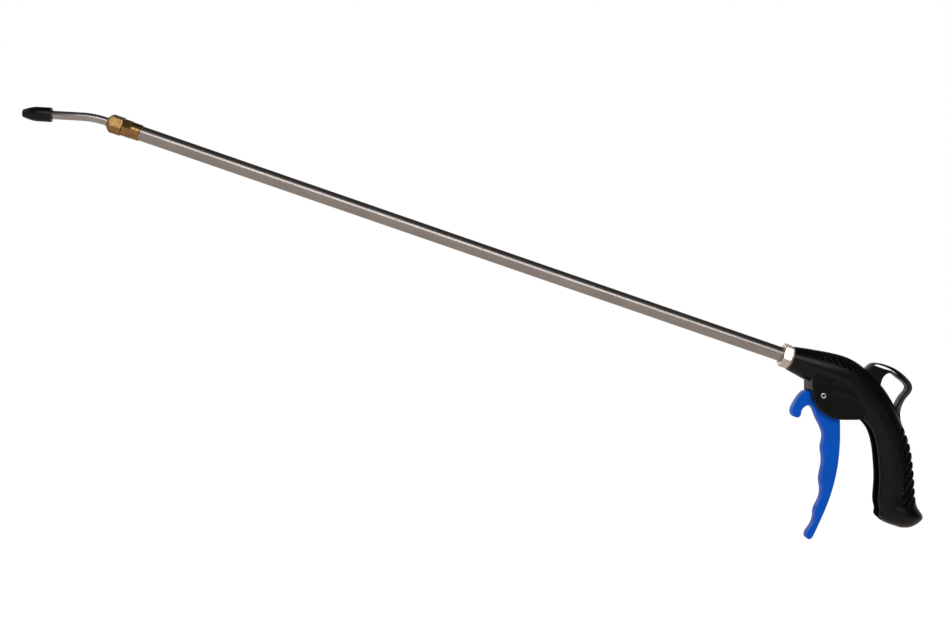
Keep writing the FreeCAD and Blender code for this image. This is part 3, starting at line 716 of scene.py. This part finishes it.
# ---- trigger ----
PIVOT = (35.0, -19.0)
CAM = (42.0, -20.0)
TRIGGER_Y = 4.7
TRIGGER_OUTLINE = [
    (28.6, -19.1),
    (26.4, -18.9),
    (24.0, -19.2),
    (21.9, -21.2),
    (19.9, -26.0),
    (18.4, -33.0),
    (18.6, -37.0),
    (20.0, -39.4),
    (22.3, -40.5),
    (24.5, -40.0),
    (25.6, -38.1),
    (25.2, -35.0),
    (26.5, -31.0),
    (30.1, -28.9),
    (34.0, -31.0),
    (37.8, -35.4),
    (43.5, -41.0),
    (47.7, -47.4),
    (49.2, -55.6),
    (51.8, -61.0),
    (54.2, -69.0),
    (55.9, -78.6),
    (58.8, -84.5),
    (60.1, -92.0),
    (59.2, -100.6),
    (60.6, -106.0),
    (60.2, -113.0),
    (58.8, -119.2),
    (59.5, -121.7),
    (61.3, -122.8),
    (63.2, -121.6),
    (64.0, -118.8),
    (65.2, -108.0),
    (66.4, -92.0),
    (65.9, -76.0),
    (63.5, -60.0),
    (59.3, -44.5),
    (54.6, -31.5),
    (50.3, -23.4),
    (47.0, -20.2),
]


def arc(centre, radius, first, last, steps):
    """Points round a circle, between two angles in degrees."""
    angles = [math.radians(first + (last - first) * k / steps) for k in range(steps + 1)]
    return [(centre[0] + radius * math.cos(a), centre[1] + radius * math.sin(a)) for a in angles]


bm = bmesh.new()
top = arc(CAM, 5.0, 4, 131, 16) + arc(PIVOT, 4.6, 37, 178, 16)
pivot_hole = arc(PIVOT, 2.16, 360, 7.5, 47)
plate(bm, [joined(spline(TRIGGER_OUTLINE, 10), top), pivot_hole], -TRIGGER_Y, TRIGGER_Y, 1.2, 6)
finished(bm, "squeeze_lever", "blue_nylon", "trigger_lever", ("trigger",), 40)

# ---- metal pieces ----
REARWARD = Vector((1, 0, 0))
ACROSS = Vector((0, 1, 0))
PIN_END = 10.75
NUT_FLATS = 16.0
BRASS_FLATS = 12.0
NUT_CORNER = NUT_FLATS / 2 / math.cos(math.pi / 6)
BRASS_CORNER = BRASS_FLATS / 2 / math.cos(math.pi / 6)

bm = bmesh.new()
head = [(PIN_END - 3.0, 0.0), (PIN_END - 3.0, 0.8), (PIN_END - 0.4, 0.85), (PIN_END - 0.08, 1.05),
        (PIN_END, 1.35), (PIN_END - 0.04, 1.7), (PIN_END - 0.2, 2.0), (PIN_END - 0.45, 2.1), (0.0, 2.1)]
for way in (-ACROSS, ACROSS):
    turned(bm, head, at(*PIVOT), way, 64)
finished(bm, "pivot_rivet", "rivet_steel", "gun", ("pivot_pin",))

bm = bmesh.new()
nut = [(2.6, 3.2), (2.6, 5.32), (-0.8, 5.32), (-1.2, 5.5), (-2.0, 6.6), (-2.0, NUT_CORNER - 1.1),
       (-1.36, NUT_CORNER), (3.86, NUT_CORNER), (4.5, NUT_CORNER - 1.1), (4.5, 4.9), (12.7, 4.9),
       (13.5, 4.1), (13.5, 3.2), (2.6, 3.2)]
turned(bm, stepped(nut, 0.16), at(0, 0), REARWARD, 180, hexagon(NUT_FLATS, 46.0))
finished(bm, "pipe_adapter_nut", "nickel", "gun", ("barrel_nut",), 22)

bm = bmesh.new()
pipe = [(2.5, 4.3), (2.5, 5.1), (2.3, 5.3), (-498.8, 5.3), (-499.0, 5.1), (-499.0, 4.3), (2.5, 4.3)]
turned(bm, pipe, at(0, 0), REARWARD, 96)
finished(bm, "long_pipe", "brushed_pipe", "gun", ("extension_pipe",))

bm = bmesh.new()
fitting = [(-499.05, 5.32), (-493.7, 5.32), (-493.5, 5.5), (-494.0, 5.9), (-500.5, 5.9),
           (-500.5, BRASS_CORNER - 0.7), (-500.9, BRASS_CORNER), (-506.1, BRASS_CORNER),
           (-506.5, BRASS_CORNER - 0.7), (-506.5, 4.4), (-511.7, 4.4), (-512.0, 4.1), (-512.0, 3.9),
           (-510.8, 3.05), (-508.6, 3.05), (-508.6, 2.2), (-499.05, 2.2), (-499.05, 5.32)]
turned(bm, stepped(fitting, 0.25), at(0, 0), REARWARD, 120, hexagon(BRASS_FLATS, 30.0))
finished(bm, "pipe_connector", "fitting_brass", "gun", ("connector_body",), 22)

bm = bmesh.new()
gland = [(-518.0, 3.05), (-518.0, 3.9), (-517.8, 4.2), (-514.8, BRASS_CORNER + 0.25),
         (-507.4, BRASS_CORNER), (-507.0, BRASS_CORNER - 0.7), (-507.0, 4.45), (-513.4, 4.45),
         (-514.4, 4.15), (-515.4, 3.05), (-518.0, 3.05)]
turned(bm, stepped(gland, 0.25), at(0, 0), REARWARD, 120, hexagon(BRASS_FLATS, 50.0))
finished(bm, "clamping_nut", "fitting_brass", "gland", ("gland_nut",), 22)

# ---- nozzle ----
BEND = math.radians(16.0)
BEND_R = 60.0
BEND_X = -519.5
NOZZLE_END = 36.5
BEND_STEPS = 24
HEADING = Vector((-math.cos(BEND), 0, -math.sin(BEND)))
BENT = (BEND_X - BEND_R * math.sin(BEND), BEND_R * (math.cos(BEND) - 1))


def nozzle_line():
    """Places along the tube's middle with the direction of travel at each."""
    rows = [(at(-509.0, 0), 0.0), (at(-509.3, 0), 0.0), (at(BEND_X, 0), 0.0)]
    for k in range(1, BEND_STEPS + 1):
        a = BEND * k / BEND_STEPS
        rows.append((at(BEND_X - BEND_R * math.sin(a), BEND_R * (math.cos(a) - 1)), a))
    rows.append((at(*BENT) + HEADING * (NOZZLE_END - 0.3) * MM, BEND))
    rows.append((at(*BENT) + HEADING * NOZZLE_END * MM, BEND))
    return rows


bm = bmesh.new()
rows = nozzle_line()
outside = [2.8] + [3.0] * (len(rows) - 2) + [2.8]
rings = []
for radii, order in ((outside, rows), ([2.0] * len(rows), rows[::-1])):
    for radius, (place, a) in zip(radii, order):
        up = Vector((-math.sin(a), 0, math.cos(a)))
        rings.append(ring_at(bm, place, Vector((0, 1, 0)), up, lambda t: radius, 64))
skin(bm, rings + rings[:1])
finished(bm, "bent_tube", "nozzle_steel", "nozzle", ("nozzle_tube",))

TIP = 20.2

bm = bmesh.new()
nose = [(9.5 + 9.9 * t, 5.15 - 2.3 * t**1.8) for t in np.linspace(0, 1, 14)]
profile = [(0.0, 3.02), (0.0, 4.75), (0.12, 5.03), (0.4, 5.15)] + nose
profile += [(TIP - 0.45, 2.82), (TIP - 0.15, 2.5), (TIP, 2.15), (TIP, 1.6), (TIP - 0.2, 1.4),
            (TIP - 5.0, 1.4), (TIP - 5.0, 3.02), (0.0, 3.02)]
tip_rear = at(*BENT) + HEADING * (NOZZLE_END - TIP + 5.0) * MM
turned(bm, profile, tip_rear, HEADING, 96)
finished(bm, "soft_tip", "black_rubber", "nozzle", ("rubber_tip",), 45)

# ---- air inlet with its thread ----
INLET_THREAD_R = 5.73
THREAD_PITCH = 1.337
THREAD_DEPTH = 0.5


def inlet_shape(along, radius, angle):
    """Cuts the thread in the wall of the bore and leaves the outside a hexagon."""
    if radius < 5.6:
        return radius
    if radius < 5.8 and 0.8 < along < 11.6:
        phase = (along / THREAD_PITCH + angle / (2 * math.pi)) % 1.0
        return INLET_THREAD_R + THREAD_DEPTH * (1 - abs(2 * phase - 1))
    return hexagon(14.0, 30.0)(along, radius, angle)


bm = bmesh.new()
inlet = [(13.5, 3.5), (12.0, 3.5), (12.0, INLET_THREAD_R), (0.6, INLET_THREAD_R), (0.0, 6.1), (0.0, 6.2),
         (2.2, 8.1), (13.0, 8.1), (13.5, 7.6), (13.5, 3.5)]
turned(bm, stepped(inlet, 0.13), at(INLET_X, INLET_Z), Vector((0, 0, 1)), 96, inlet_shape)
finished(bm, "threaded_inlet", "nickel", "gun", ("inlet_insert",), 30)

# ---- valve spring, which in the real gun shortens as the stem rises; this coil is built at one length ----
COIL_X = 42.0
COIL_R = 2.9
WIRE_R = 0.35
COIL_TURNS = 4.5
COIL_STEPS = 180
spring_low, spring_high = (corner[2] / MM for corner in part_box("valve_spring"))

bm = bmesh.new()
rings = []
for k in range(COIL_STEPS + 1):
    a = 2 * math.pi * COIL_TURNS * k / COIL_STEPS
    outward = Vector((math.cos(a), math.sin(a), 0))
    height = spring_low + WIRE_R + (spring_high - spring_low - 2 * WIRE_R) * k / COIL_STEPS
    middle = at(COIL_X, height + INLET_Z) + outward * COIL_R * MM
    rings.append(ring_at(bm, middle, outward, Vector((0, 0, 1)), lambda t: WIRE_R, 16))
skin(bm, rings)
bm.faces.new(rings[0])
bm.faces.new(rings[-1])
coil = finished(bm, "valve_coil", "spring_steel", "gun", ("valve_spring",))
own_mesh(coil)

# ---- camera ----
camera_data = bpy.data.cameras.new("camera")
camera_data.lens = 50
camera_data.sensor_width = 36
camera = bpy.data.objects.new("camera", camera_data)
bpy.context.scene.collection.objects.link(camera)
right = Vector((0.94409, -0.06602, 0.32299))
up = Vector((-0.32220, 0.02253, 0.94640))
back = right.cross(up)
turn = Matrix((right, up, back)).transposed().to_4x4()
camera.matrix_world = Matrix.Translation((-0.4114, -0.9565, 0.0464)) @ turn
bpy.context.scene.camera = camera


# ---- floor and light ----
FLOOR_GLOW = 0.45
FLOOR_GLOW_SEEN = 0.97
FLOOR_WARMTH = (1.0, 0.88, 0.79)
FLOOR_RADIUS = 30
FLOOR_GAP = 0.0005
ROOM_GLOW = 0.055


def plain(name):
    """A pale floor that is lit from inside, so it stays even; the gun sees it dimmer."""
    made = bpy.data.materials.new(name)
    made.use_nodes = True
    tree = made.node_tree
    path = tree.nodes.new("ShaderNodeLightPath")
    shader = tree.nodes["Principled BSDF"]
    shader.inputs["Base Color"].default_value = (0.35, 0.35, 0.35, 1)
    shader.inputs["Roughness"].default_value = 0.9
    shader.inputs["Specular IOR Level"].default_value = 0.1
    link(tree, mixed(tree, path.outputs["Is Camera Ray"], FLOOR_WARMTH, (1.0, 1.0, 1.0)),
         shader.inputs["Emission Color"])
    link(tree, spread(tree, path.outputs["Is Camera Ray"], FLOOR_GLOW, FLOOR_GLOW_SEEN, 0.0, 1.0),
         shader.inputs["Emission Strength"])
    return made


bm = bmesh.new()
bmesh.ops.create_circle(bm, cap_ends=True, radius=FLOOR_RADIUS, segments=96)
mesh = bpy.data.meshes.new("floor")
bm.to_mesh(mesh)
bm.free()
floor_piece = bpy.data.objects.new("floor", mesh)
floor_piece.location = (0, 0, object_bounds()[0][2] - FLOOR_GAP)
bpy.context.scene.collection.objects.link(floor_piece)
mesh.materials.append(plain("pale_floor"))

world = bpy.data.worlds.new("studio")
bpy.context.scene.world = world
world.use_nodes = True
tree = world.node_tree
path = tree.nodes.new("ShaderNodeLightPath")
seen = tree.nodes["Background"]
seen.inputs["Color"].default_value = (1, 1, 1, 1)
room = tree.nodes.new("ShaderNodeBackground")
compass = tree.nodes.new("ShaderNodeSeparateXYZ")
link(tree, tree.nodes.new("ShaderNodeTexCoord").outputs["Generated"], compass.inputs["Vector"])
behind = spread(tree, compass.outputs["Y"], 0.0, 0.85, -0.1, 0.35)
low = spread(tree, compass.outputs["Z"], 1.0, 0.0, 0.3, 0.7)
screen = tree.nodes.new("ShaderNodeMath")
screen.operation = "MULTIPLY_ADD"
screen.inputs[2].default_value = ROOM_GLOW
link(tree, behind, screen.inputs[0])
link(tree, low, screen.inputs[1])
link(tree, screen.outputs["Value"], room.inputs["Strength"])
mix = tree.nodes.new("ShaderNodeMixShader")
link(tree, path.outputs["Is Camera Ray"], mix.inputs["Fac"])
link(tree, room.outputs["Background"], mix.inputs[1])
link(tree, seen.outputs["Background"], mix.inputs[2])
link(tree, mix.outputs["Shader"], tree.nodes["World Output"].inputs["Surface"])


def softbox(name, place, target, width, height, power, colour=(1, 1, 1)):
    data = bpy.data.lights.new(name, "AREA")
    data.shape = "RECTANGLE"
    data.size = width
    data.size_y = height
    data.energy = power
    data.color = colour
    light = bpy.data.objects.new(name, data)
    light.location = place
    aim = Vector(target) - Vector(place)
    light.rotation_euler = aim.to_track_quat("-Z", "Y").to_euler()
    light.visible_camera = False
    bpy.context.scene.collection.objects.link(light)


GUN = (-0.1, 0.0, 0.05)
softbox("key", (-0.42, -1.5, 0.8), (-0.35, 0, 0.09), 1.76, 0.6, 10)
softbox("side", (-1.8, -0.3, 0.4), GUN, 0.7, 0.7, 1.5)
softbox("edge", (-0.6, 1.4, 0.16), GUN, 0.7, 0.35, 0.18, (1.0, 0.93, 0.9))

bpy.context.scene.view_settings.view_transform = "Standard"
